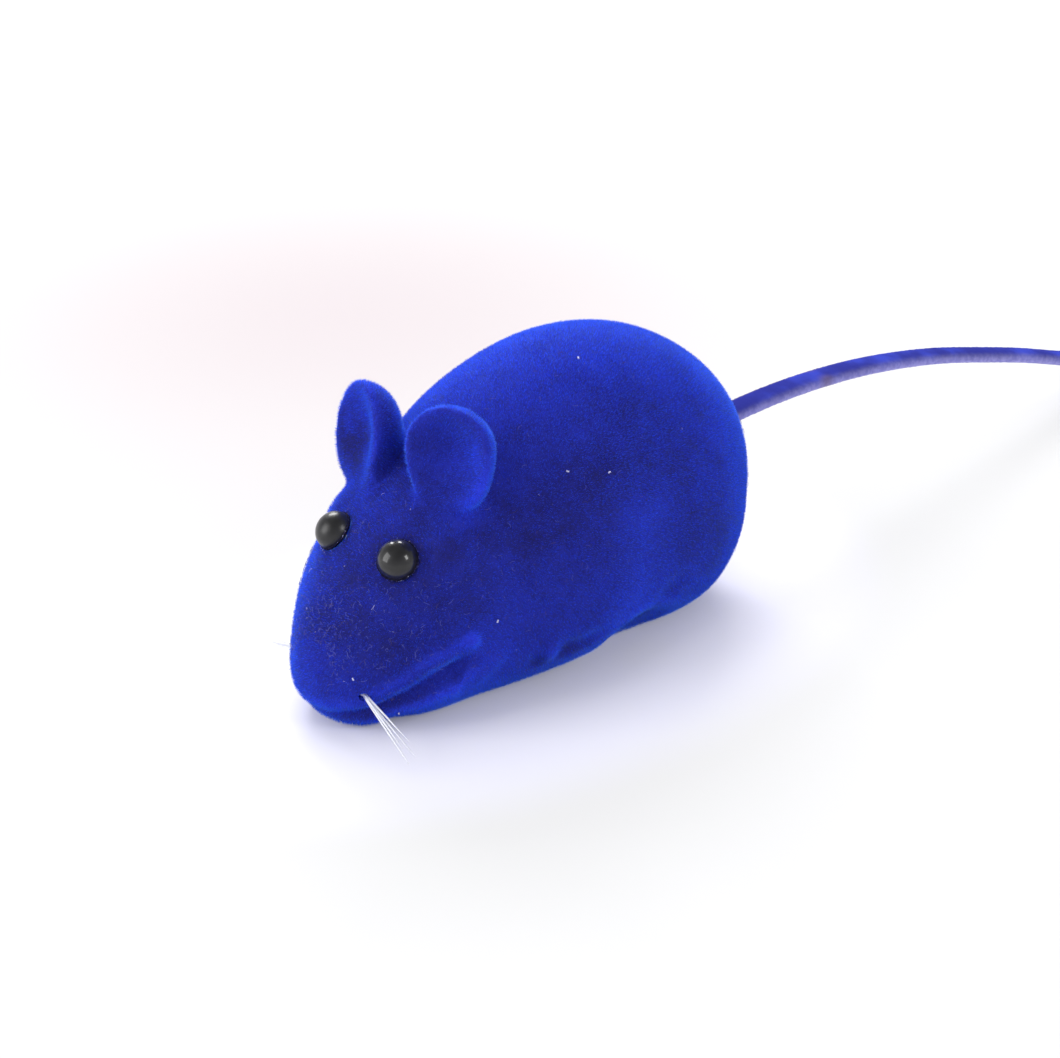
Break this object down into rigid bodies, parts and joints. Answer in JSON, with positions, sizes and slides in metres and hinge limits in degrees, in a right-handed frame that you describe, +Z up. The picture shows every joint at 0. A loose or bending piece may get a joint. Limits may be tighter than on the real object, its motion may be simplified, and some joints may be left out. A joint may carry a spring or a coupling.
{
  "type": "mouse cat toy",
  "caption": "Hollow flocked mouse toy with dished ears, glossy bead eyes, nylon whiskers, a flat lace tail and a reed squeaker in the belly.",
  "frame": {"origin": "under the middle of the body, on the surface that the belly rests on", "axes": "the nose points to -Y, the tail to +Y, the mouse's left side is +X and +Z is up"},
  "size_m": [0.0316, 0.1584, 0.0337],
  "materials": {
    "flocked_skin": "short royal-blue nylon flock over soft vinyl",
    "eye_bead": "polished black bead",
    "whisker_nylon": "clear nylon monofilament",
    "tail_lace": "flat lace dyed blue, raw cut edges",
    "squeaker_plastic": "natural moulded plastic",
    "reed_film": "thin translucent film"
  },
  "bodies": {
    "mouse_body": {"body_shell": "flocked_skin", "left_eye": "eye_bead", "right_eye": "eye_bead", "whisker_1": "whisker_nylon", "whisker_2": "whisker_nylon", "whisker_3": "whisker_nylon", "whisker_4": "whisker_nylon", "squeaker_case": "squeaker_plastic", "reed_plate": "squeaker_plastic", "squeaker_cap": "squeaker_plastic"},
    "tail_body": {"tail": "tail_lace", "tail_knot": "tail_lace"},
    "reed_body": {"reed": "reed_film"}
  },
  "joints": [
    {"name": "tail_wag", "type": "hinge", "parent": "mouse_body", "child": "tail_body", "pos_m": [0, 0.02875, 0.0154], "axis": [0, 0, 1], "range_deg": [-15, 15]},
    {"name": "reed_flutter", "type": "hinge", "parent": "mouse_body", "child": "reed_body", "pos_m": [0, 0.00324, 0.005], "axis": [1, 0, 0], "range_deg": [0, 8], "stiffness_Nm_per_rad": 0.0001}
  ]
}
